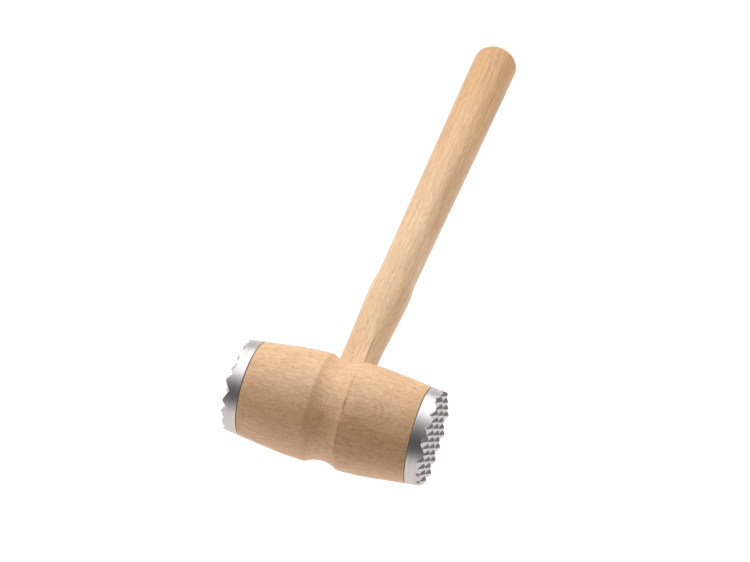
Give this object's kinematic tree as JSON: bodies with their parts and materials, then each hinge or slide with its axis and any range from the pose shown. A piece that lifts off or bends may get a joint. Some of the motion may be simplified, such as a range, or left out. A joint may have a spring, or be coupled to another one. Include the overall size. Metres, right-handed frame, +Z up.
{
  "type": "meat mallet",
  "caption": "Wooden meat mallet with a barrel-shaped head, toothed aluminium striking caps on both ends and a turned handle let into the cove round the middle.",
  "frame": {"origin": "middle of the footprint, on the surface that the mallet lies on", "axes": "+X along the head towards the right cap, +Y along the handle towards the butt, +Z up; the mallet lies on its side as it rests on a table, with the handle dipping 2.8 degrees"},
  "size_m": [0.106, 0.3276, 0.0559],
  "materials": {
    "head_wood": "bare sanded beech, grain along the head, short brown ray flecks",
    "handle_wood": "bare sanded beech, grain along the handle, fine pores",
    "cap_metal": "turned satin aluminium with fine rings round the side and milled pyramid teeth",
    "stud_steel": "plain steel thread"
  },
  "bodies": {
    "root": {"head_barrel": "head_wood", "handle": "handle_wood", "cap_right": "cap_metal", "cap_left": "cap_metal", "stud_right": "stud_steel", "stud_left": "stud_steel"}
  },
  "joints": []
}
